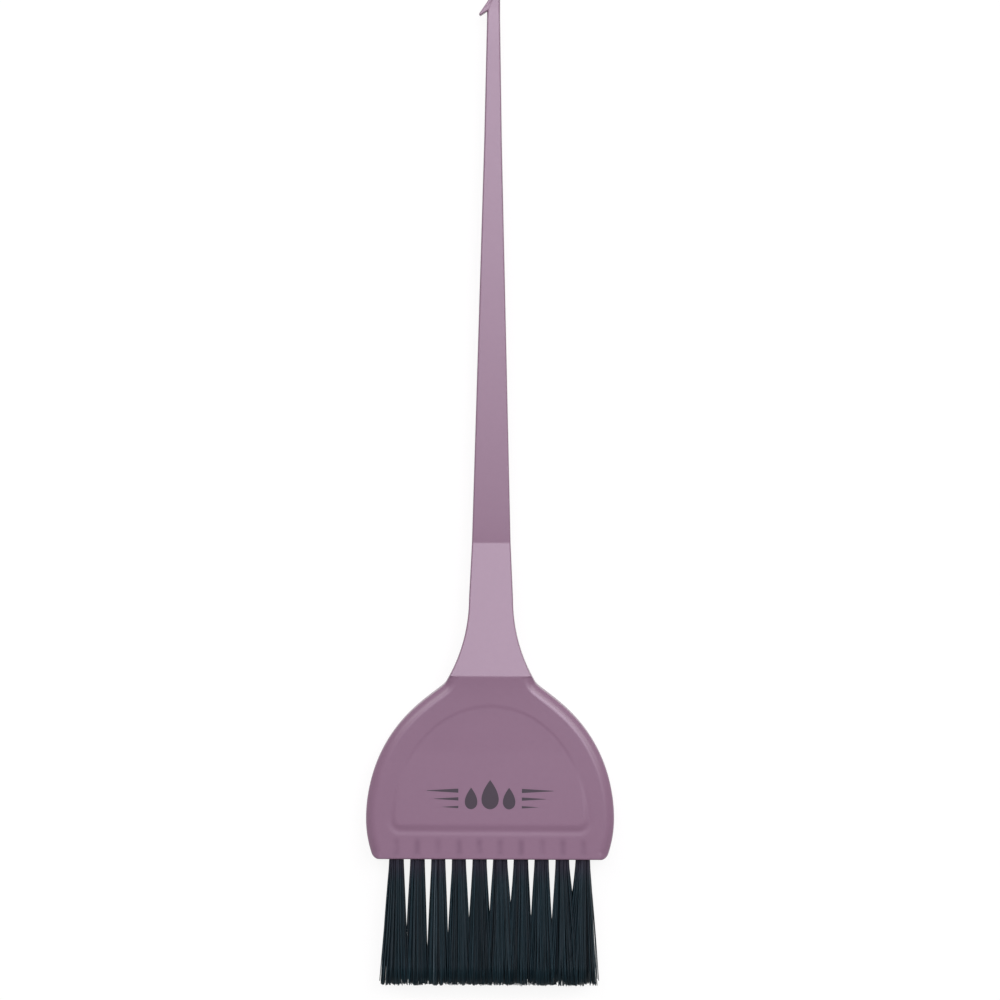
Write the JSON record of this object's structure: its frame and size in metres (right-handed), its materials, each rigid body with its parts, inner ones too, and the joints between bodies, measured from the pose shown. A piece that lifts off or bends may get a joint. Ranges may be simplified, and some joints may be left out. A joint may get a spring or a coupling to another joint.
{
  "type": "hair tint brush",
  "caption": "Wide flat hair-colour brush with a domed head, a ramped neck, a slim tail ending in a hook, and two rows of dark bristle tufts.",
  "frame": {"origin": "centre of the bounding box, on the plane that the brush rests on when it lies on its back panel", "axes": "+Y from the bristles along the handle to the hook, +Z out of the front face, +X to the right when the front is seen with the bristles down"},
  "size_m": [0.055, 0.2208, 0.0098],
  "materials": {
    "handle_plastic": "semi-gloss moulded plastic, dusty mauve, coloured through",
    "bristle_nylon": "dark teal-black nylon filaments with a soft sheen",
    "anchor_metal": "plain rolled sheet"
  },
  "bodies": {
    "root": {"handle": "handle_plastic", "tuft_front_01": "bristle_nylon", "tuft_front_02": "bristle_nylon", "tuft_front_03": "bristle_nylon", "tuft_front_04": "bristle_nylon", "tuft_front_05": "bristle_nylon", "tuft_front_06": "bristle_nylon", "tuft_front_07": "bristle_nylon", "tuft_front_08": "bristle_nylon", "tuft_front_09": "bristle_nylon", "tuft_front_10": "bristle_nylon", "tuft_back_01": "bristle_nylon", "tuft_back_02": "bristle_nylon", "tuft_back_03": "bristle_nylon", "tuft_back_04": "bristle_nylon", "tuft_back_05": "bristle_nylon", "tuft_back_06": "bristle_nylon", "tuft_back_07": "bristle_nylon", "tuft_back_08": "bristle_nylon", "tuft_back_09": "bristle_nylon", "tuft_back_10": "bristle_nylon", "anchor_front_01": "anchor_metal", "anchor_front_02": "anchor_metal", "anchor_front_03": "anchor_metal", "anchor_front_04": "anchor_metal", "anchor_front_05": "anchor_metal", "anchor_front_06": "anchor_metal", "anchor_front_07": "anchor_metal", "anchor_front_08": "anchor_metal", "anchor_front_09": "anchor_metal", "anchor_front_10": "anchor_metal", "anchor_back_01": "anchor_metal", "anchor_back_02": "anchor_metal", "anchor_back_03": "anchor_metal", "anchor_back_04": "anchor_metal", "anchor_back_05": "anchor_metal", "anchor_back_06": "anchor_metal", "anchor_back_07": "anchor_metal", "anchor_back_08": "anchor_metal", "anchor_back_09": "anchor_metal", "anchor_back_10": "anchor_metal"}
  },
  "joints": []
}
